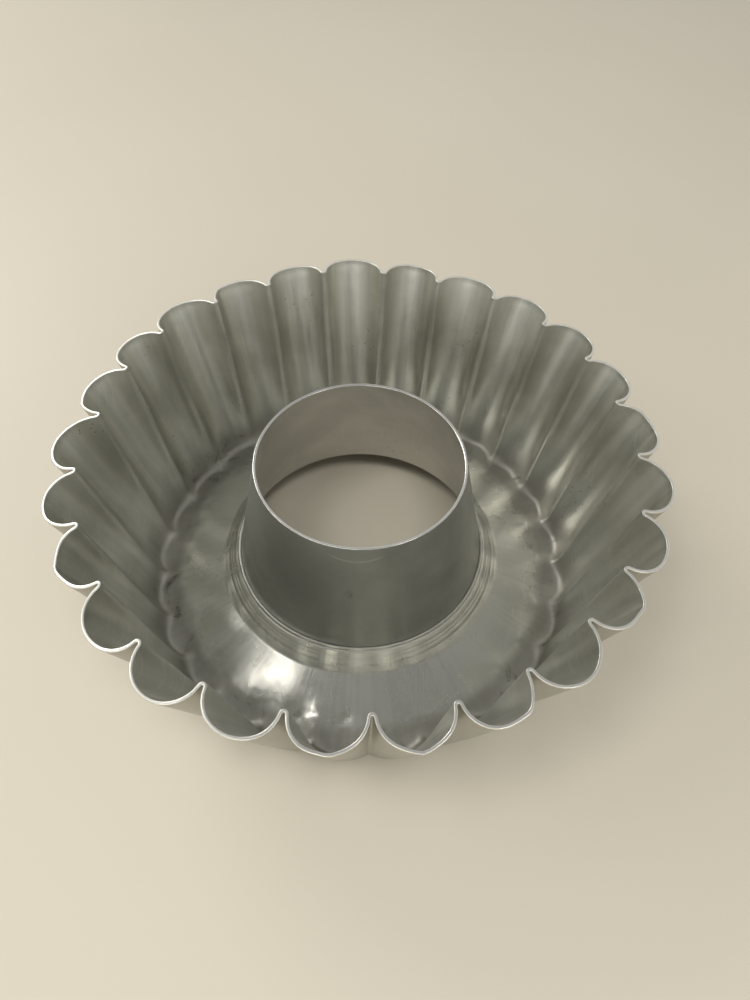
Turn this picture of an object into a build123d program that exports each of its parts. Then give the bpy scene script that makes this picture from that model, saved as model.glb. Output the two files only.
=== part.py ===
from build123d import *
from math import acos, atan, cos, hypot, pi, sin, sqrt, tan
import os

# Fluted ring cake mould in pressed aluminium sheet: a scalloped pan and an open centre tube.
# Millimetres, +Z up. The origin is on the axis, in the plane of the foot ring that the mould
# stands on, and the ridge between two flutes lies on +X.

os.makedirs("parts", exist_ok=True)

# Fluted wall: radii of the outer surface, which is a straight slope above its rounded corner
sheet = 1.2                    # pan thickness, measured square to the sheet
flute_count = 25
rim_height = 89.0              # the rim at the ridges
rim_drop = 3.0                 # how much lower the rim is cut at the flutes' tips
flute_rim_radius = 131.0       # flutes' tips, before the rim is cut lower there
flute_foot_radius = 101.5      # where the tips' slope would meet the foot plane
flute_rim_depth = 13.8         # flutes' tips to the ridges between them, at the rim
flute_foot_depth = 2.0         # the same in the foot plane
ridge_rim_round = 0.5          # fold of a ridge at the rim
ridge_foot_round = 1.5         # fold of a ridge at the foot
flute_corner_round = 4.5       # wall to floor at the flutes' tips
ridge_corner_round = 9.0       # the same along the ridges
corner_steps = 6               # straight strips that make up the rounded corner

# Floor, which rises as a shallow cone from the foot ring to the collar around its hole: upper surface
foot_ring_joint = 0.6          # from the ridges' rounded corner in to the floor's own piece
foot_ring_width = 3.5          # from there in to where the cone's slope would meet the foot ring
floor_bend = 5.0               # foot ring to cone
collar_foot_radius = 66.0      # where the cone meets the collar
collar_foot_height = 12.4
collar_bend = 1.6              # cone to collar
collar_top_radius = 58.7       # outer edge of the collar's cut top
collar_top_height = 21.3

# Centre tube: outer surface
tube_sheet = 1.2               # thickness, measured square to the sheet
tube_height = 80.9
tube_top_radius = 45.4
tube_bend = 1.5                # wall to flared foot
seam_clearance = 0.05          # collar to tube, at the collar's lip and where the foot seats under it
seat_rise = 2.0                # the flared foot's seat, up the collar from the cone
knee_share = 0.3               # the tube's knee, as a share of the way up from that seat to the lip

half_pitch = pi / flute_count
ridge_rim_radius = flute_rim_radius - flute_rim_depth
ridge_foot_radius = flute_foot_radius - flute_foot_depth


def slope_radius(z, foot_radius, rim_radius, corner, depth):
    """Radius at height z, `depth` inside the outer surface, of a slope and its rounded corner."""
    draft = (rim_radius - foot_radius) / rim_height
    secant = hypot(1, draft)
    if z >= corner - (corner - depth) * draft / secant:
        return foot_radius + draft * z - depth * secant
    centre_radius = foot_radius + corner * (draft - secant)
    return centre_radius + sqrt((corner - depth) ** 2 - (corner - z) ** 2)


def fluted_outline(z, depth):
    """Closed outline at height z: a wide arc for each flute, and a small one over each ridge."""
    ridge_round = ridge_foot_round + (ridge_rim_round - ridge_foot_round) * z / rim_height + depth
    tip = slope_radius(z, flute_foot_radius, flute_rim_radius, flute_corner_round, depth)
    ridge_tip = slope_radius(z, ridge_foot_radius, ridge_rim_radius, ridge_corner_round, depth)
    ridge_centre = ridge_tip + ridge_round
    reach = tip + ridge_round
    flute_centre = (reach**2 - ridge_centre**2) / (2 * (reach - ridge_centre * cos(half_pitch)))
    share = (tip - flute_centre) / (reach - flute_centre)
    touch_x = flute_centre + share * (ridge_centre * cos(half_pitch) - flute_centre)
    touch_y = share * ridge_centre * sin(half_pitch)
    ridge_point = Vector(ridge_tip * cos(half_pitch), ridge_tip * sin(half_pitch), z)
    next_start = Vector(touch_x, -touch_y, z).rotate(Axis.Z, 360 / flute_count)
    flute = ThreePointArc((touch_x, -touch_y, z), (tip, 0, z), (touch_x, touch_y, z))
    ridge = ThreePointArc((touch_x, touch_y, z), ridge_point, next_start)
    edges = []
    for index in range(flute_count):
        turn = Rotation(0, 0, (index + 0.5) * 360 / flute_count)
        edges += [turn * flute, turn * ridge]
    return Wire(edges)


def fluted_block(depth, top):
    """Solid inside the surface that lies `depth` within the sheet's outer one, from floor to top."""
    ridge_draft = (ridge_rim_radius - ridge_foot_radius) / rim_height
    corner_angle = pi / 2 - atan(ridge_draft)
    levels = []
    for step in range(corner_steps + 1):
        rise = (ridge_corner_round - depth) * cos(corner_angle * step / corner_steps)
        levels.append(ridge_corner_round - rise)
    levels.append(top)
    return Solid.make_loft([fluted_outline(z, depth) for z in levels], ruled=True)


def above_rim():
    """Cone-topped disc over the rim line, which falls outward from the ridges to the tips."""
    fall = rim_drop / (flute_rim_radius - ridge_rim_radius)
    clear = 10.0
    outer = flute_rim_radius + clear
    apex_height = rim_height + fall * ridge_rim_radius
    section = Polyline(
        (0, 0, apex_height),
        (outer, 0, apex_height - fall * outer),
        (outer, 0, apex_height + clear),
        (0, 0, apex_height + clear),
        close=True,
    )
    return revolve(make_face(section), Axis.Z)


def left_of(start, end):
    """Unit vector square to the run from start to end, on its left as the XZ plane is drawn."""
    run = (end - start).normalized()
    return Vector(-run.Z, 0, run.X)


def bent_sheet(path, bends, thickness):
    """Ring of sheet whose section lies left of the path, with each bend turning to the right."""
    normals = [left_of(start, end) for start, end in zip(path, path[1:])]
    back = [path[0] + normals[0] * thickness]
    for corner, before, after in zip(path[1:-1], normals, normals[1:]):
        back.append(corner + (before + after) * (thickness / (1 + before.dot(after))))
    back.append(path[-1] + normals[-1] * thickness)
    face = make_face(Polyline(*path, *reversed(back), close=True)).face()
    for index, bend in enumerate(bends, start=1):
        half_turn = acos(normals[index - 1].dot(normals[index])) / 2
        bend = min(bend, bend_room(path, index) / tan(half_turn))
        face = face.fillet_2d(bend, [face.vertices().sort_by_distance(path[index])[0]])
        face = face.fillet_2d(bend + thickness, [face.vertices().sort_by_distance(back[index])[0]])
    return revolve(face, Axis.Z)


def bend_room(path, index):
    """Length beside a corner that its bend can take: most of an end run, or its share of an inner one."""
    before = (path[index] - path[index - 1]).length * (0.9 if index == 1 else 0.45)
    after = (path[index + 1] - path[index]).length * (0.9 if index == len(path) - 2 else 0.45)
    return min(before, after)


ring_start = slope_radius(0, ridge_foot_radius, ridge_rim_radius, ridge_corner_round, 0)
foot_ring_outer = ring_start - foot_ring_joint
ring_edge = Vector(foot_ring_outer, 0, sheet)
ring_end = Vector(foot_ring_outer - foot_ring_width, 0, sheet)
collar_foot = Vector(collar_foot_radius, 0, collar_foot_height)
collar_top = Vector(collar_top_radius, 0, collar_top_height)


def make_fluted_pan():
    """Fluted wall and foot ring, with the floor's cone and collar joined inside the foot ring."""
    shell = fluted_block(0.0, rim_height + sheet) - fluted_block(sheet, rim_height + 2 * sheet)
    shell -= above_rim()
    shell -= Cylinder(foot_ring_outer, 3 * sheet)
    floor_path = [ring_edge, ring_end, collar_foot, collar_top]
    return shell + bent_sheet(floor_path, [floor_bend, collar_bend], sheet)


def make_centre_tube():
    """Cone gripped by the collar's lip, with its foot flared out to a seat under the collar."""
    collar_left = left_of(collar_foot, collar_top)
    inset = collar_left * (sheet + seam_clearance)
    lip = collar_top + inset
    seat = collar_foot + inset + (collar_top - collar_foot).normalized() * seat_rise
    top = Vector(tube_top_radius, 0, tube_height)
    knee_height = seat.Z + knee_share * (lip.Z - seat.Z)
    knee = top + (lip - top) * ((top.Z - knee_height) / (top.Z - lip.Z))
    return bent_sheet([seat, knee, top], [tube_bend], tube_sheet)


export_step(make_fluted_pan(), "parts/fluted_pan.step")
export_step(make_centre_tube(), "parts/centre_tube.step")
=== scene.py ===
import math
import random

import bpy
from mathutils import Matrix, Vector, noise


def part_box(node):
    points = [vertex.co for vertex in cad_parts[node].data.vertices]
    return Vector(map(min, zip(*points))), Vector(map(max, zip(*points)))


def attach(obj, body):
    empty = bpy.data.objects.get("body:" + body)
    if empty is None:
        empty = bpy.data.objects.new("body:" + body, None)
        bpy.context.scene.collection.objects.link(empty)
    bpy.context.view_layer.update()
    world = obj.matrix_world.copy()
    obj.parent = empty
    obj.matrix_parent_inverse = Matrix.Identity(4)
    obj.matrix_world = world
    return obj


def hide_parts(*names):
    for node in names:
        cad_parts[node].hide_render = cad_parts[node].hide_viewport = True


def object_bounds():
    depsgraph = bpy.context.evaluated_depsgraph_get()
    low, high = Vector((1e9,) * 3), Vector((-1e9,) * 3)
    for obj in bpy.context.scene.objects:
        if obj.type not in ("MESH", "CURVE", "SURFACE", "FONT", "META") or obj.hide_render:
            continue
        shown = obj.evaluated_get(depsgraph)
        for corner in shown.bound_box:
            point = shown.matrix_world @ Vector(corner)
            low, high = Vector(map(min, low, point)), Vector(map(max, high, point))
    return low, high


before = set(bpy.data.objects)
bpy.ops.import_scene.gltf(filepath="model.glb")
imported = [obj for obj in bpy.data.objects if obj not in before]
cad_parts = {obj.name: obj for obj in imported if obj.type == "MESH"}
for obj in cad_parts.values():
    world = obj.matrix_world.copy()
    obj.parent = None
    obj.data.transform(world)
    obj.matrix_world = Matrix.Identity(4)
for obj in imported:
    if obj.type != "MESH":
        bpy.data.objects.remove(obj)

# Fluted ring cake mould in pressed aluminium. Profiles are in millimetres, as the part's are, and
# become metres in add_mesh(). Materials, lamps and the camera are in metres.
MM = 0.001
cad_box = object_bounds()
tube_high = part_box("centre_tube")[1]

# Fluted wall: radii of the outer surface
SHEET = 1.2
FLUTES = 25
RIM_DROP = 3.0
RIM_HEIGHT = 89.0
FLUTE_RIM, FLUTE_FOOT = 131.0, 101.5
RIDGE_RIM, RIDGE_FOOT = 117.2, 99.5
RIDGE_ROUND_RIM, RIDGE_ROUND_FOOT = 0.5, 1.5
FLUTE_CORNER, RIDGE_CORNER = 4.5, 9.0
HALF_PITCH = math.pi / FLUTES

# Floor and collar: radius and height of the upper surface's corners, from the flutes' feet inward
FOOT_RING = 91.51
FLOOR_START = 88.01
COLLAR_FOOT = (66.0, 12.4)
COLLAR_TOP = (58.7, 21.3)
FLOOR_PATH = [(FOOT_RING, SHEET), (FLOOR_START, SHEET), COLLAR_FOOT, COLLAR_TOP]
FLOOR_BENDS = [5.0, 1.6]

# The floor runs on as one shallow cone until it meets the flutes' feet, in a soft fillet
CONE_FOOT = 96.2
CONE_RISE = (COLLAR_FOOT[1] - SHEET) / (CONE_FOOT - COLLAR_FOOT[0])
FILLET = 2.3
FILLET_FADE = (84, 94)

# The collar's turned lines: distance from its top, depth and width; and the bead at its foot
TURNED_LINES = ((1.5, 0.30, 0.34), (4.6, 0.12, 0.45), (6.2, 0.10, 0.4), (8.9, 0.14, 0.5))
TURNED_FROM = 0.2
BEAD, BEAD_WIDTH = 0.28, 0.9

# Centre tube: outer surface, from the seat under the collar to the top
TUBE_TOP = (45.4, tube_high.z / MM - 0.11)
TUBE_SHEET = 1.2
TUBE_BEND = 1.5
TUBE_COLUMNS = 360
SEAM = 0.05
SEAT_RISE = 2.0
KNEE_SHARE = 0.3
# depth, azimuth and half width in radians, height and half height of the dent at its front
TUBE_DENT = (0.35, math.radians(-92), 0.10, 66, 5.0)

# Cut edges: how far each one bulges, and how square the bulge is (1 would be round)
RIM_BULGE, LIP_BULGE, TUBE_BULGE = 0.5, 0.3, 0.45
EDGE_POWER = 0.6

rng = random.Random(25)


def smooth(low, high, x):
    t = min(1.0, max(0.0, (x - low) / (high - low)))
    return t * t * (3 - 2 * t)


def slope_radius(z, foot, rim, corner, depth):
    draft = (rim - foot) / RIM_HEIGHT
    secant = math.hypot(1, draft)
    if z >= corner - (corner - depth) * draft / secant:
        return foot + draft * z - depth * secant
    root = (corner - depth) ** 2 - (corner - z) ** 2
    return foot + corner * (draft - secant) + math.sqrt(max(root, 0.0))


# Each flute's columns: across the flute's arc, then round the ridge that follows it
FLUTE_COLUMNS = 18
RIDGE_COLUMNS = 6
PERIOD = FLUTE_COLUMNS + RIDGE_COLUMNS
# The wall's rows stand a little closer together near its foot
ROW_POWER = 0.9


def period(z, depth):
    """(radius, azimuth from the flute's middle) of each column of one flute at height z."""
    fold = RIDGE_ROUND_FOOT + (RIDGE_ROUND_RIM - RIDGE_ROUND_FOOT) * z / RIM_HEIGHT + depth
    tip = slope_radius(z, FLUTE_FOOT, FLUTE_RIM, FLUTE_CORNER, depth)
    ridge_tip = slope_radius(z, RIDGE_FOOT, RIDGE_RIM, RIDGE_CORNER, depth)
    ridge_centre = ridge_tip + fold
    reach = tip + fold
    cos_half, sin_half = math.cos(HALF_PITCH), math.sin(HALF_PITCH)
    centre = (reach**2 - ridge_centre**2) / (2 * (reach - ridge_centre * cos_half))
    share = (tip - centre) / (reach - centre)
    touch_x = centre + share * (ridge_centre * cos_half - centre)
    touch_y = share * ridge_centre * sin_half
    half_turn = math.atan2(touch_y, touch_x - centre)
    points = []
    for step in range(FLUTE_COLUMNS + 1):
        turn = half_turn * (2 * step / FLUTE_COLUMNS - 1)
        points.append((centre + (tip - centre) * math.cos(turn), (tip - centre) * math.sin(turn)))
    cx, cy = ridge_centre * cos_half, ridge_centre * sin_half
    start = math.atan2(touch_y - cy, touch_x - cx) % (2 * math.pi)
    middle = math.pi + HALF_PITCH
    for step in range(1, RIDGE_COLUMNS):
        turn = start + (2 * middle - 2 * start) * step / RIDGE_COLUMNS
        points.append((cx + fold * math.cos(turn), cy + fold * math.sin(turn)))
    return [(math.hypot(x, y), math.atan2(y, x)) for x, y in points]


def rim_line(radius):
    return RIM_HEIGHT - RIM_DROP * (radius - RIDGE_RIM) / (FLUTE_RIM - RIDGE_RIM)


def wall_rows(depth, wall_steps, corner_steps):
    """Rows of (radius, azimuth, z) for one flute's columns, from the rim down to the foot ring."""
    corner_angle = math.pi / 2 - math.atan((RIDGE_RIM - RIDGE_FOOT) / RIM_HEIGHT)
    foot = RIDGE_CORNER - (RIDGE_CORNER - depth) * math.cos(corner_angle)
    tops = []
    for column in range(PERIOD):
        top = RIM_HEIGHT
        for _ in range(3):  # the rim's height depends on the radius there, so it settles in a few steps
            top = rim_line(period(top, depth)[column][0])
        tops.append(top)
    rows = []
    for step in range(wall_steps):
        share = (1 - step / wall_steps) ** ROW_POWER
        row = []
        for column in range(PERIOD):
            z = foot + (tops[column] - foot) * share
            radius, azimuth = period(z, depth)[column]
            row.append((radius, azimuth, z))
        rows.append(row)
    for step in range(corner_steps + 1):
        z = RIDGE_CORNER - (RIDGE_CORNER - depth) * math.cos(corner_angle * (1 - step / corner_steps))
        rows.append([(radius, azimuth, z) for radius, azimuth in period(z, depth)])
    return rows


def bent_path(path, bends, run_step, bend_steps):
    """Points (r, z, normal r, normal z) along a path with rounded corners.

    The normals are on the path's left, and run_step has one spacing for each straight run.
    """
    runs = []
    for a, b in zip(path, path[1:]):
        length = math.dist(a, b)
        runs.append(((b[0] - a[0]) / length, (b[1] - a[1]) / length, length))
    trims = [0.0]
    turns = []  # radians
    for before, after, bend in zip(runs, runs[1:], bends):
        turn = math.acos(before[0] * after[0] + before[1] * after[1])
        turns.append(turn)
        trims.append(bend * math.tan(turn / 2))
    trims.append(0.0)
    points = []
    for index, (dx, dz, length) in enumerate(runs):
        start, end = trims[index], length - trims[index + 1]
        count = max(2, int((end - start) / run_step[index]) + 1)
        for i in range(count):
            if index and i == 0:
                continue
            along = start + (end - start) * i / (count - 1)
            points.append((path[index][0] + dx * along, path[index][1] + dz * along, -dz, dx))
        if index < len(bends):
            bend, turn = bends[index], turns[index]
            r0 = path[index][0] + dx * end + dz * bend
            z0 = path[index][1] + dz * end - dx * bend
            for i in range(1, bend_steps + 1):
                a = turn * i / bend_steps
                nx = -dz * math.cos(a) + dx * math.sin(a)
                nz = dx * math.cos(a) + dz * math.sin(a)
                points.append((r0 + nx * bend, z0 + nz * bend, nx, nz))
    return points


def add_mesh(name, rings, ring_wear_and_sheen):
    """Closed mesh from a cycle of rings of (x, y, z) points, with one wear_and_sheen value for each ring."""
    count = len(rings[0])
    vertices = [tuple(c * MM for c in point) for ring in rings for point in ring]
    faces = []
    for i in range(len(rings)):
        here, there = i * count, ((i + 1) % len(rings)) * count
        for j in range(count):
            k = (j + 1) % count
            faces.append((here + j, here + k, there + k, there + j))
    mesh = bpy.data.meshes.new(name)
    mesh.from_pydata(vertices, [], faces)
    mesh.update()
    mesh.shade_smooth()
    wear_and_sheen = mesh.attributes.new("wear_and_sheen", "FLOAT", "POINT")
    wear_and_sheen.data.foreach_set("value", [value for value in ring_wear_and_sheen for _ in range(count)])
    piece = bpy.data.objects.new(name, mesh)
    bpy.context.scene.collection.objects.link(piece)
    return piece


def edge_curve(share):
    """A cut edge's section: place across the sheet, from 1 to -1, and height, from 0 up to 1."""
    angle = math.pi * share
    across = math.copysign(abs(math.cos(angle)) ** EDGE_POWER, math.cos(angle))
    return across, abs(math.sin(angle)) ** EDGE_POWER


# Knocks and stretch of a thin pressed sheet: each ridge and flute sits a little off its place.
# sway and belly are radial, lean is in radians about the axis, and lift is in height. They grow
# from nothing at KNOCK_FOOT to their full size at the rim.
KNOCK_FOOT = 10
FULL_TURN = 6.28
sway = [rng.uniform(-1.2, 0.7) for _ in range(FLUTES)]
lean = [rng.uniform(-0.011, 0.011) for _ in range(FLUTES)]
belly = [rng.uniform(-0.75, 0.0) for _ in range(FLUTES)]
lift = [rng.uniform(-0.5, 0.1) for _ in range(FLUTES)]
# Dents at the rim: azimuth in degrees, depth, half width in degrees, reach down the wall
DENTS = [
    (-79.0, 0.9, 3.4, 30.0),
    (-61.0, 1.3, 4.2, 36.0),
    (-33.5, 1.4, 4.0, 38.0),
    (-151.7, 1.2, 4.2, 34.0),
    (-93.0, 0.5, 2.6, 18.0),
    (170.0, 0.9, 3.6, 40.0),
    (12.0, 0.9, 3.8, 30.0),
    (126.0, 0.8, 3.6, 30.0),
]
DENT_GAIN, DENT_BLUNT, DENT_SPAN = 2.2, 0.1, 3
# The wall's long waves and the floor's short ones: how many round the axis, phase and size. The
# wall's are shifted inward, to stay inside the CAD's box.
WAVE_GAIN, WAVE_INWARD = 5, 0.45
waves = [(rng.randint(3, 9), rng.uniform(0, FULL_TURN), rng.uniform(0.04, 0.10)) for _ in range(5)]
ripples = [(rng.randint(11, 41), rng.uniform(0, FULL_TURN), rng.uniform(0.01, 0.035)) for _ in range(6)]
# The floor's marks: radii over which they grow from the collar, radii over which they end at the
# flutes' feet, and heights over which they end on the wall
FLOOR_GROW, FLOOR_END, FLOOR_TOP = (66.5, 86), (96, 101), (9, 20)
SWELL, SWELL_GROW = 0.45, (73, 93)
# Lumps in the stretched corner where the flutes run out: (size, width, offset of the noise)
CORNER_GROW, CORNER_TOP = (78, 90), (16, 34)
LUMPS = ((0.75, 12.0, Vector((0, 0, 0))), (0.30, 4.5, Vector((7, 3, 1))))
LUMP_SHIFT = 0.8


def near(angle, centre):
    """The angle from centre to angle, between minus and plus half a turn."""
    return (angle - centre + math.pi) % (2 * math.pi) - math.pi


def wall_knocks(azimuth, z):
    """Radial shift, turn and rise of a point of the wall."""
    up = smooth(KNOCK_FOOT, RIM_HEIGHT, z)
    pitch = 2 * HALF_PITCH
    phase = azimuth / pitch
    ridge = round(phase) % FLUTES
    flute = math.floor(phase) % FLUTES
    at_ridge = math.cos(math.pi * near(azimuth, ridge * pitch) / pitch) ** 2
    at_flute = math.cos(math.pi * near(azimuth, (flute + 0.5) * pitch) / pitch) ** 2
    shift = up * (sway[ridge] * at_ridge + belly[flute] * at_flute)
    for number, start, size in waves:
        shift += up * size * WAVE_GAIN * (math.cos(number * azimuth + start) - WAVE_INWARD)
    for centre, size, width, reach in DENTS:
        away = math.degrees(near(azimuth, math.radians(centre))) / width
        if abs(away) < DENT_SPAN:
            below = (RIM_HEIGHT - z) / reach
            flank = (math.hypot(away, DENT_BLUNT) - DENT_BLUNT) * math.exp(-away * away)
            shift -= DENT_GAIN * size * flank * math.exp(-below * below)
    return shift, up * lean[ridge] * at_ridge, up * up * lift[flute] * at_flute


def floor_marks(radius, azimuth, z):
    """Rise of a point of the floor: a swell below each ridge, and marks that run in from the flutes."""
    on_floor = smooth(*FLOOR_GROW, radius) * (1 - smooth(*FLOOR_TOP, z)) * (1 - smooth(*FLOOR_END, radius))
    swell = SWELL * math.cos(FLUTES * azimuth) * smooth(*SWELL_GROW, radius)
    for number, start, size in ripples:
        swell += size * math.cos(number * azimuth + start)
    return on_floor * swell


def corner_lump(radius, azimuth, z):
    corner = smooth(*CORNER_GROW, radius) * (1 - smooth(*CORNER_TOP, z))
    if corner == 0:
        return 0.0
    spot = Vector((radius * math.cos(azimuth), radius * math.sin(azimuth), z))
    return corner * sum(size * noise.noise(spot / width + offset) for size, width, offset in LUMPS)


def place(radius, azimuth, z):
    """A point of the pan as (x, y, z), after the sheet's knocks."""
    shift, turn, rise = wall_knocks(azimuth, z)
    rise += floor_marks(radius, azimuth, z)
    lump = corner_lump(radius, azimuth, z)
    radius += shift + LUMP_SHIFT * lump
    azimuth += turn
    return (radius * math.cos(azimuth), radius * math.sin(azimuth), max(z + rise + lump, 0.0))


def all_flutes(row):
    """One flute's columns of (radius, azimuth, z), repeated round the axis."""
    return [
        (radius, azimuth + (2 * index + 1) * HALF_PITCH, z)
        for index in range(FLUTES)
        for radius, azimuth, z in row
    ]


def groove(radius, z):
    """How far the collar's surface dips at its turned lines; the bead at its foot rises."""
    dip = 0.0
    if z > COLLAR_FOOT[1] + TURNED_FROM:
        along = math.dist((radius, z), COLLAR_TOP)
        for centre, depth, width in TURNED_LINES:
            dip += depth * math.exp(-(((along - centre) / width) ** 2))
    return dip - BEAD * math.exp(-(((radius - COLLAR_FOOT[0]) / BEAD_WIDTH) ** 2))


def on_cone(row, depth):
    """A row of points lifted to the floor's cone, with a soft junction at the flutes' feet."""
    out = []
    under = (SHEET - depth) * math.hypot(1, CONE_RISE)
    for radius, azimuth, z in row:
        cone = SHEET + (CONE_FOOT - radius) * CONE_RISE - under
        gap = z - cone
        soften = FILLET * smooth(*FILLET_FADE, radius)
        if soften > 0 and abs(gap) < soften:
            z = cone + (gap + soften) ** 2 / (4 * soften)
        else:
            z = max(z, cone)
        out.append((radius, azimuth, z))
    return out


def rim_edge(outer_row, inner_row, steps=8):
    """Rings round the rim's cut edge, between the wall's two top rows."""
    rings = []
    for i in range(1, steps):
        across, bulge = edge_curve(i / steps)
        rings.append([
            (
                (ro + ri) / 2 + (ro - ri) / 2 * across,
                (ao + ai) / 2 + (ao - ai) / 2 * across,
                (zo + zi) / 2 + (zo - zi) / 2 * across + RIM_BULGE * bulge,
            )
            for (ro, ao, zo), (ri, ai, zi) in zip(outer_row, inner_row)
        ])
    return rings


def make_pan():
    outer = wall_rows(0.0, wall_steps=15, corner_steps=8)
    inner = wall_rows(SHEET, wall_steps=23, corner_steps=11)
    for rows in (outer, inner):
        rows[0] = [(r, a, z - RIM_BULGE) for r, a, z in rows[0]]
    outer_rings = [all_flutes(row) for row in outer]
    inner_rings = [all_flutes(row) for row in inner]
    rim_rings = rim_edge(outer_rings[0], inner_rings[0])
    azimuths = [
        (a_in + a_out) / 2 for (_, a_in, _), (_, a_out, _) in zip(inner_rings[-1], outer_rings[-1])
    ]
    upper, lower = [], []
    # the foot ring, from the corner's scalloped edge in to the turned floor
    for share in (0.33, 0.67):
        for rings, foot_row, z in ((upper, inner_rings[-1], SHEET), (lower, outer_rings[-1], 0.0)):
            rings.append([(r + (FOOT_RING - r) * share, a, z) for (r, _, _), a in zip(foot_row, azimuths)])
    # floor and collar, with a coarser underside
    topside = bent_path(FLOOR_PATH, FLOOR_BENDS, [1.2, 1.1, 0.34], 5)
    underside = bent_path(FLOOR_PATH, FLOOR_BENDS, [2.0, 2.6, 2.0], 4)
    for r, z, nr, nz in topside:
        dip = groove(r, z)
        upper.append([(r + nr * dip, a, z + nz * dip) for a in azimuths])
    for r, z, nr, nz in underside:
        lower.append([(r + nr * SHEET, a, z + nz * SHEET) for a in azimuths])
    # the collar's cut edge, which starts a bulge's height below its top
    r, z, nr, nz = topside[-1]
    dr, dz = nz, -nr
    for rings, depth in ((upper, 0.0), (lower, SHEET)):
        rings[-1] = [(r + nr * depth - dr * LIP_BULGE, a, z + nz * depth - dz * LIP_BULGE) for a in azimuths]
    lip_rings = []
    lip_steps = 7
    for i in range(1, lip_steps):
        across, bulge = edge_curve(i / lip_steps)
        depth = SHEET / 2 * (1 - across)
        over = LIP_BULGE * (bulge - 1)
        lip_rings.append([(r + nr * depth + dr * over, a, z + nz * depth + dz * over) for a in azimuths])
    inner_rings = [on_cone(ring, SHEET) for ring in inner_rings]
    outer_rings = [on_cone(ring, 0.0) for ring in outer_rings]
    upper = [on_cone(ring, SHEET) for ring in upper]
    lower = [on_cone(ring, 0.0) for ring in lower]
    cycle = [
        (rim_rings, 1.0), (inner_rings, 0.0), (upper, 0.0), (lip_rings, 1.0),
        (lower[::-1], 0.0), (outer_rings[::-1], 0.0),
    ]
    rings = [[place(*point) for point in ring] for group, _ in cycle for ring in group]
    return add_mesh("pan_shell", rings, [wear_and_sheen for group, wear_and_sheen in cycle for _ in group])


def out_of_round(azimuth, z):
    """How far the tube's wall stands out of its circle, with the dent at its front."""
    up = smooth(24, TUBE_TOP[1], z)
    oval = up * (0.25 * math.cos(2 * azimuth + 0.6) + 0.1 * math.cos(3 * azimuth + 2.0))
    depth, centre, half_width, height, half_height = TUBE_DENT
    aside = near(azimuth, centre) / half_width
    return oval - depth * math.exp(-(aside**2) - ((z - height) / half_height) ** 2)


def make_tube():
    """The tube's section, turned about the axis, with a cut top edge and a flared, hidden foot."""
    # the collar's inner face is the seat: the flare stays just inside it
    length = math.dist(COLLAR_FOOT, COLLAR_TOP)
    dr, dz = (COLLAR_TOP[0] - COLLAR_FOOT[0]) / length, (COLLAR_TOP[1] - COLLAR_FOOT[1]) / length
    inset = SHEET + SEAM
    seat = (COLLAR_FOOT[0] - dz * inset + dr * SEAT_RISE, COLLAR_FOOT[1] + dr * inset + dz * SEAT_RISE)
    lip = (COLLAR_TOP[0] - dz * inset, COLLAR_TOP[1] + dr * inset)
    knee_z = seat[1] + KNEE_SHARE * (lip[1] - seat[1])
    share = (TUBE_TOP[1] - knee_z) / (TUBE_TOP[1] - lip[1])
    knee = (TUBE_TOP[0] + (lip[0] - TUBE_TOP[0]) * share, knee_z)
    points = bent_path([seat, knee, TUBE_TOP], [TUBE_BEND], [0.8, 1.2], 5)
    r, z, nr, nz = points[-1]
    dr, dz = nz, -nr
    points[-1] = (r - dr * TUBE_BULGE, z - dz * TUBE_BULGE, nr, nz)
    # (radius, z, wear_and_sheen) up the outside, over the cut edge and down the inside
    section = [(pr, pz, 0.0) for pr, pz, _, _ in points]
    edge_steps = 9
    for i in range(1, edge_steps):
        across, bulge = edge_curve(i / edge_steps)
        depth = TUBE_SHEET / 2 * (1 - across)
        over = TUBE_BULGE * (bulge - 1)
        section.append((r + nr * depth + dr * over, z + nz * depth + dz * over, 1.0))
    section += [(pr + pnr * TUBE_SHEET, pz + pnz * TUBE_SHEET, 0.0) for pr, pz, pnr, pnz in reversed(points)]
    azimuths = [2 * math.pi * i / TUBE_COLUMNS for i in range(TUBE_COLUMNS)]
    rings = []
    for radius, z, _ in reversed(section):
        radii = [radius + out_of_round(a, z) for a in azimuths]
        rings.append([(reach * math.cos(a), reach * math.sin(a), z) for reach, a in zip(radii, azimuths)])
    return add_mesh("tube_shell", rings, [wear_and_sheen for _, _, wear_and_sheen in reversed(section)])


# ---------------------------------------------------------------- materials


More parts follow.
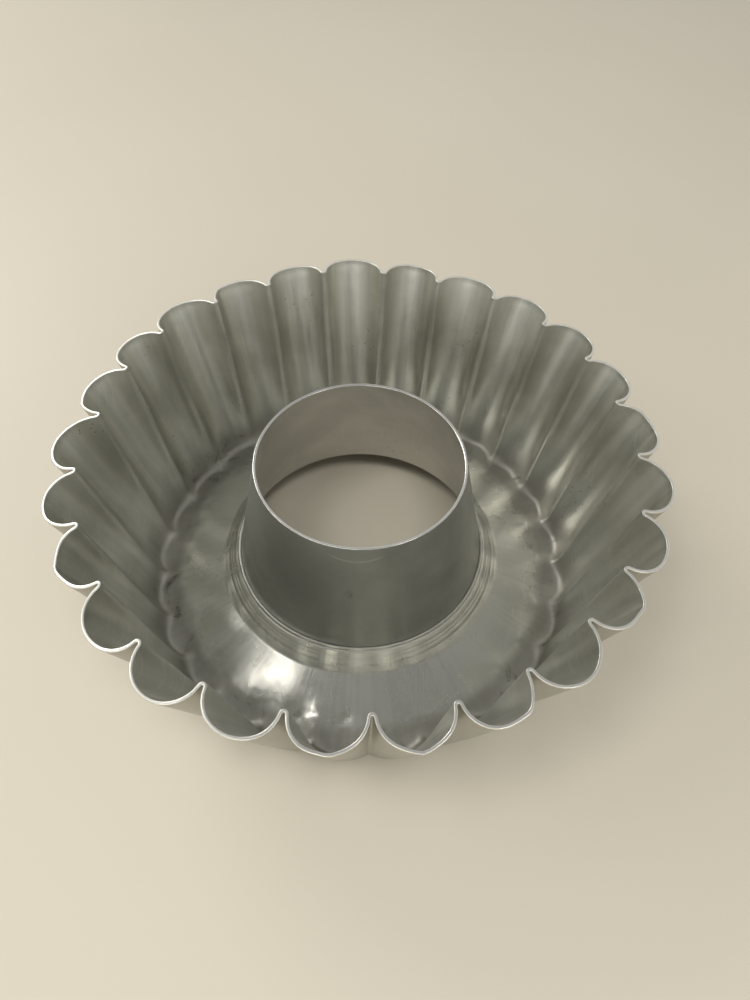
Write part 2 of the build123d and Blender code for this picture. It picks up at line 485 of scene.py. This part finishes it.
class Nodes:
    """Short calls for building a material's node tree."""

    def __init__(self, name):
        self.material = bpy.data.materials.new(name)
        self.material.use_nodes = True
        self.tree = self.material.node_tree
        self.tree.nodes.clear()

    def add(self, kind, inputs=None, **settings):
        node = self.tree.nodes.new("ShaderNode" + kind)
        for key, value in settings.items():
            setattr(node, key, value)
        for key, value in (inputs or {}).items():
            self.put(node.inputs[key], value)
        return node

    def put(self, socket, value):
        if isinstance(value, bpy.types.NodeSocket):
            self.tree.links.new(value, socket)
        elif isinstance(value, bpy.types.Node):
            self.tree.links.new(value.outputs[0], socket)
        else:
            socket.default_value = value

    def math(self, operation, a, b=0.0):
        node = self.add("Math", operation=operation)
        self.put(node.inputs[0], a)
        self.put(node.inputs[1], b)
        return node.outputs[0]

    def plus(self, a, b):
        return self.math("ADD", a, b)

    def times(self, a, b):
        return self.math("MULTIPLY", a, b)

    def away(self, value, centre):
        """Distance of a value from a centre."""
        return self.math("ABSOLUTE", self.math("SUBTRACT", value, centre))

    def vector(self, x, y, z):
        return self.add("CombineXYZ", {0: x, 1: y, 2: z}).outputs[0]

    def noise(self, vector, scale, detail=4.0, rough=0.55, distortion=0.0):
        inputs = {"Vector": vector, "Scale": scale, "Detail": detail}
        inputs.update({"Roughness": rough, "Distortion": distortion})
        return self.add("TexNoise", inputs).outputs[0]

    def patch(self, spot, scale, low, high, detail=3.0):
        """A soft-edged mask that leaves broad patches out."""
        return self.span(self.noise(spot, scale, detail), low, high)

    def span(self, value, low, high, to_low=0.0, to_high=1.0, smooth_step=True):
        """A value's range mapped to another, and held at its ends."""
        node = self.add("MapRange", interpolation_type="SMOOTHSTEP" if smooth_step else "LINEAR")
        for socket, v in zip(node.inputs, (value, low, high, to_low, to_high)):
            self.put(socket, v)
        return node.outputs[0]

    def mix(self, factor, a, b):
        """Colours mixed; a Mix node keeps its colours in sockets 6 and 7."""
        node = self.add("Mix", data_type="RGBA")
        self.put(node.inputs[0], factor)
        self.put(node.inputs[6], a)
        self.put(node.inputs[7], b)
        return node.outputs[2]

    def blend(self, factor, a, b):
        """Plain values mixed."""
        node = self.add("Mix", data_type="FLOAT")
        self.put(node.inputs[0], factor)
        self.put(node.inputs[2], a)
        self.put(node.inputs[3], b)
        return node.outputs[0]

    def polar(self):
        """Object coordinates, with the radius and the unit direction from the axis."""
        spot = self.add("TexCoord").outputs["Object"]
        split = self.add("SeparateXYZ", {0: spot})
        x, y, z = split.outputs
        radius = self.math("SQRT", self.plus(self.times(x, x), self.times(y, y)))
        return spot, radius, self.math("DIVIDE", x, radius), self.math("DIVIDE", y, radius), z

    def around(self, ux, uy, count, along):
        """Noise coordinates that turn with the azimuth and run along another value."""
        return self.vector(self.times(ux, count), self.times(uy, count), along)

    def wear_and_sheen(self):
        return self.add("Attribute", attribute_name="wear_and_sheen").outputs["Fac"]

    def specks(self, spot, count, large, small):
        """Small round pits, as a mask."""
        cells = self.add("TexVoronoi", {"Vector": spot, "Scale": count})
        return self.span(cells.outputs["Distance"], large, small)

    def scratches(self, spot, turn, count, rare):
        """Fine straight scratches along one direction, as a mask; the higher rare is, the fewer."""
        stretch = 0.02
        scale = (count, count * stretch, count * stretch)
        turned = self.add("Mapping", {"Vector": spot, "Rotation": turn, "Scale": scale})
        return self.span(self.noise(turned.outputs[0], 1.0, 0.0), rare, rare + 0.05)

    def layers(self, colour, coats):
        """A colour with coats over it, each one a mask, its strength and its colour."""
        for mask, strength, tint in coats:
            colour = self.mix(self.times(mask, strength), colour, tint)
        return colour

    def metal(self, colour, roughness, height, distance):
        bump = self.add("Bump", {"Strength": 1.0, "Distance": distance, "Height": height})
        shader = self.add(
            "BsdfPrincipled",
            {"Base Color": colour, "Metallic": 1.0, "Roughness": roughness, "Normal": bump.outputs[0]},
        )
        self.add("OutputMaterial", {"Surface": shader.outputs[0]})
        return self.material


def pan_material():
    n = Nodes("pan_aluminium")
    spot, radius, ux, uy, z = n.polar()
    # patchy oxide, and long marks that follow the drawn sheet down the flutes and over the floor
    patches = n.noise(spot, 26.0, 5.0, 0.6, 0.4)
    fine = n.noise(spot, 210.0, 4.0, 0.65)
    reach = n.plus(n.times(z, 9.0), n.times(radius, 9.0))
    drawn = n.noise(n.around(ux, uy, 34.0, reach), 1.0, 5.0, 0.6)
    hair = n.noise(n.around(ux, uy, 190.0, n.times(reach, 1.6)), 1.0, 3.0, 0.6)
    turned = n.noise(n.around(ux, uy, 1.3, n.times(radius, 1500.0)), 1.0, 3.0, 0.6)
    # where the collar, the smooth floor, the stretched foot and the pan's outside are; the foot and the
    # outside are darkened as painted shade
    collar = n.span(radius, 0.0665, 0.0645)
    flat = n.span(radius, 0.0925, 0.088)
    foot = n.times(n.span(radius, 0.086, 0.0925), n.span(z, 0.020, 0.005))
    normal_z = n.add("SeparateXYZ", {0: n.add("NewGeometry").outputs["True Normal"]}).outputs[2]
    painted_shade_outside = n.span(normal_z, 0.0, -0.10)
    # dark grime that stays in the corner, small pits, and scratches in two directions
    grime = n.times(n.span(n.noise(spot, 55.0, 6.0, 0.68, 0.8), 0.56, 0.70), foot)
    speck = n.times(n.specks(spot, 330.0, 0.20, 0.10), n.patch(spot, 31.0, 0.55, 0.68))
    scratch_a = n.scratches(spot, (0.3, 0.2, 0.5), 2300.0, 0.70)
    scratch_b = n.scratches(spot, (-0.4, 0.3, 2.0), 2000.0, 0.71)
    scratch = n.times(n.math("MAXIMUM", scratch_a, scratch_b), n.patch(spot, 17.0, 0.45, 0.62, 2.0))
    wear_and_sheen = n.wear_and_sheen()

    light = n.span(n.plus(n.times(patches, 0.6), n.times(drawn, 0.4)), 0.35, 0.65)
    colour = n.mix(light, (0.57, 0.568, 0.51, 1), (0.73, 0.728, 0.665, 1))
    colour = n.layers(colour, (
        (collar, 0.70, (0.86, 0.855, 0.81, 1)),
        (scratch, 0.25, (0.85, 0.84, 0.81, 1)),
        (speck, 0.55, (0.14, 0.13, 0.11, 1)),
        (flat, 0.45, (0.62, 0.62, 0.595, 1)),
        # painted shade: the corner where the flutes meet the floor is darkened evenly
        (foot, 0.55, (0.36, 0.35, 0.32, 1)),
        (grime, 0.75, (0.13, 0.115, 0.095, 1)),
        # painted shade: the outside and underside, which face down, are darkened
        (painted_shade_outside, 0.80, (0.40, 0.39, 0.355, 1)),
        # cut edges: bright worn metal, made lighter still as a painted highlight on the rim
        (wear_and_sheen, 0.90, (0.90, 0.895, 0.85, 1)),
    ))

    rough = n.span(patches, 0.3, 0.7, 0.31, 0.46, smooth_step=False)
    rough = n.plus(rough, n.span(drawn, 0.3, 0.7, -0.04, 0.06, smooth_step=False))
    rough = n.plus(rough, n.times(grime, 0.25))
    polished = n.span(patches, 0.35, 0.65, 0.17, 0.36, smooth_step=False)
    rough = n.blend(n.times(flat, 0.85), rough, polished)
    rough = n.blend(n.times(foot, 0.6), rough, 0.58)
    rough = n.blend(wear_and_sheen, rough, 0.34)

    height = n.plus(n.times(drawn, 0.28), n.times(hair, 0.05))
    height = n.plus(height, n.times(fine, 0.08))
    height = n.plus(height, n.times(turned, n.plus(n.times(collar, 0.20), n.times(flat, 0.05))))
    height = n.math("SUBTRACT", height, n.times(scratch, 0.06))
    height = n.math("SUBTRACT", height, n.times(speck, 0.20))
    return n.metal(colour, rough, height, 0.00022)


def tube_material():
    n = Nodes("tube_aluminium")
    spot, radius, ux, uy, z = n.polar()
    # cloudy oxide, and turned lines round the axis
    patches = n.noise(spot, 19.0, 4.0, 0.55, 0.3)
    fine = n.noise(spot, 260.0, 4.0, 0.65)
    turned = n.noise(n.around(ux, uy, 1.1, n.times(z, 1100.0)), 1.0, 3.0, 0.6)
    broad = n.noise(n.around(ux, uy, 1.6, n.times(z, 60.0)), 1.0, 3.0, 0.5)
    speck = n.times(n.specks(spot, 240.0, 0.16, 0.08), n.patch(spot, 23.0, 0.56, 0.70))
    scratch = n.times(n.scratches(spot, (0.1, 1.2, 0.4), 2000.0, 0.71), n.patch(spot, 15.0, 0.5, 0.66, 2.0))
    wear_and_sheen = n.wear_and_sheen()
    front = n.span(uy, -0.5, -0.8)
    # a curved scratch just below the front of the top edge
    aside = n.plus(ux, 0.01)
    sag = n.times(n.times(aside, aside), 0.045)
    off_arc = n.away(n.math("SUBTRACT", z, sag), 0.0735)
    arc = n.times(n.span(off_arc, 0.0007, 0.0002), n.span(n.away(ux, -0.01), 0.30, 0.16))
    # and a small dark stain below the scratch
    off_stain = n.plus(n.times(n.away(ux, -0.06), 0.055), n.away(z, 0.0545))
    stain = n.times(n.span(off_stain, 0.0042, 0.0012), n.span(fine, 0.35, 0.6))

    light = n.span(n.plus(n.times(patches, 0.7), n.times(broad, 0.3)), 0.35, 0.65)
    colour = n.mix(light, (0.47, 0.475, 0.455, 1), (0.64, 0.64, 0.61, 1))
    colour = n.layers(colour, (
        (speck, 0.50, (0.2, 0.19, 0.18, 1)),
        (scratch, 0.25, (0.75, 0.75, 0.73, 1)),
        (n.times(arc, front), 0.45, (0.86, 0.855, 0.83, 1)),
        (n.times(stain, front), 0.45, (0.22, 0.215, 0.20, 1)),
        # cut edge: bright worn metal, made lighter still as a painted highlight on the top edge
        (wear_and_sheen, 0.90, (0.92, 0.915, 0.89, 1)),
    ))

    rough = n.span(patches, 0.3, 0.7, 0.36, 0.46, smooth_step=False)
    rough = n.blend(wear_and_sheen, rough, 0.2)

    height = n.plus(n.times(turned, 0.14), n.times(fine, 0.10))
    height = n.plus(height, n.times(broad, 0.6))
    height = n.math("SUBTRACT", height, n.times(n.plus(speck, scratch), 0.10))
    return n.metal(colour, rough, height, 0.00015)


def table_material():
    n = Nodes("table_top")
    spot = n.add("TexCoord").outputs["Object"]
    cloud = n.noise(spot, 1.6, 3.0, 0.5)
    grain = n.noise(spot, 420.0, 2.0, 0.5)
    colour = n.mix(n.span(cloud, 0.3, 0.7), (0.575, 0.535, 0.445, 1), (0.615, 0.575, 0.485, 1))
    bump = n.add("Bump", {"Strength": 0.1, "Distance": 0.0001, "Height": grain})
    shader = n.add("BsdfPrincipled", {"Base Color": colour, "Roughness": 0.55, "Normal": bump.outputs[0]})
    n.add("OutputMaterial", {"Surface": shader.outputs[0]})
    return n.material


# ---------------------------------------------------------------- the object

pan = make_pan()
pan.data.materials.append(pan_material())
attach(pan, "root")
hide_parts("fluted_pan")

tube = make_tube()
tube.data.materials.append(tube_material())
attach(tube, "root")
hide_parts("centre_tube")

# ---------------------------------------------------------------- floor, light and camera

FLOOR_HALF = 6.0
floor_z = cad_box[0].z
corners = ((-1, -1), (1, -1), (1, 1), (-1, 1))
floor_mesh = bpy.data.meshes.new("table")
floor_mesh.from_pydata([(x * FLOOR_HALF, y * FLOOR_HALF, floor_z) for x, y in corners], [], [(0, 1, 2, 3)])
floor = bpy.data.objects.new("table", floor_mesh)
bpy.context.scene.collection.objects.link(floor)
floor.data.materials.append(table_material())

# Soft room light, paler towards the horizon than overhead
HORIZON_STRENGTH, OVERHEAD_STRENGTH = 0.78, 0.28
world = bpy.data.worlds.new("studio")
bpy.context.scene.world = world
world.use_nodes = True
sky = world.node_tree
sky_height = sky.nodes.new("ShaderNodeSeparateXYZ")
sky.links.new(sky.nodes.new("ShaderNodeTexCoord").outputs["Generated"], sky_height.inputs[0])
sky_fade = sky.nodes.new("ShaderNodeMapRange")
for socket, value in zip(sky_fade.inputs[1:5], (0.0, 1.0, HORIZON_STRENGTH, OVERHEAD_STRENGTH)):
    socket.default_value = value
sky.links.new(sky_height.outputs[2], sky_fade.inputs[0])
sky.links.new(sky_fade.outputs[0], sky.nodes["Background"].inputs["Strength"])
sky.nodes["Background"].inputs["Color"].default_value = (1.0, 0.985, 0.95, 1)


AIM = Vector((0, 0, 0.03))
LAMP_COLOUR = (1.0, 0.97, 0.91)


def lamp(name, azimuth, elevation, distance, size, power):
    """An area lamp that looks at the mould from a direction given in degrees."""
    data = bpy.data.lights.new(name, "AREA")
    data.shape = "RECTANGLE"
    data.size, data.size_y = size
    data.energy = power
    data.color = LAMP_COLOUR
    item = bpy.data.objects.new(name, data)
    bpy.context.scene.collection.objects.link(item)
    a, e = math.radians(azimuth), math.radians(elevation)
    item.location = Vector((math.cos(a) * math.cos(e), math.sin(a) * math.cos(e), math.sin(e))) * distance
    item.rotation_mode = "QUATERNION"
    item.rotation_quaternion = (AIM - item.location).to_track_quat("-Z", "Y")
    return item


lamp("key", -152, 58, 1.35, (0.15, 0.24), 0.6)  # the bright patch on the pan's floor
lamp("front", -110, 22, 1.4, (0.8, 0.4), 2.4)  # the flutes at the back
lamp("side", -48, 38, 1.3, (0.35, 0.35), 1.5)  # the flutes on the left
lamp("left", -176, 42, 1.35, (0.35, 0.35), 1.4)  # the flutes' feet on the right
lamp("back_fill", 139, 37, 1.5, (0.6, 0.6), 6.0)  # the floor on the left
# these two light the table only: the metal mirrors the room, not them
for name, azimuth, power in (("ceiling_left", -144, 4.2), ("ceiling_right", -74, 4.8)):
    lamp(name, azimuth, 69, 1.4, (0.35, 0.35), power).visible_glossy = False

# The camera stands in front of the mould and looks down on it; its angles are in radians
CAMERA_AT = Vector((0.00654, -0.21025, 0.33759))
CAMERA_PITCH = 0.9358
CAMERA_ROLL = 0.0226
back = Vector((0, -math.cos(CAMERA_PITCH), math.sin(CAMERA_PITCH)))
right = Vector((1, 0, 0))
up = Vector((0, math.sin(CAMERA_PITCH), math.cos(CAMERA_PITCH)))
camera_x = right * math.cos(CAMERA_ROLL) + up * math.sin(CAMERA_ROLL)
camera_y = up * math.cos(CAMERA_ROLL) - right * math.sin(CAMERA_ROLL)
turned = Matrix((camera_x, camera_y, back)).transposed().to_4x4()
camera = bpy.data.objects.new("camera", bpy.data.cameras.new("camera"))
bpy.context.scene.collection.objects.link(camera)
camera.data.lens = 28.1
camera.data.sensor_width = 36.0
camera.data.clip_start = 0.01
camera.matrix_world = Matrix.Translation(CAMERA_AT) @ turned
bpy.context.scene.camera = camera
bpy.context.scene.view_settings.view_transform = "Standard"

bpy.context.view_layer.update()
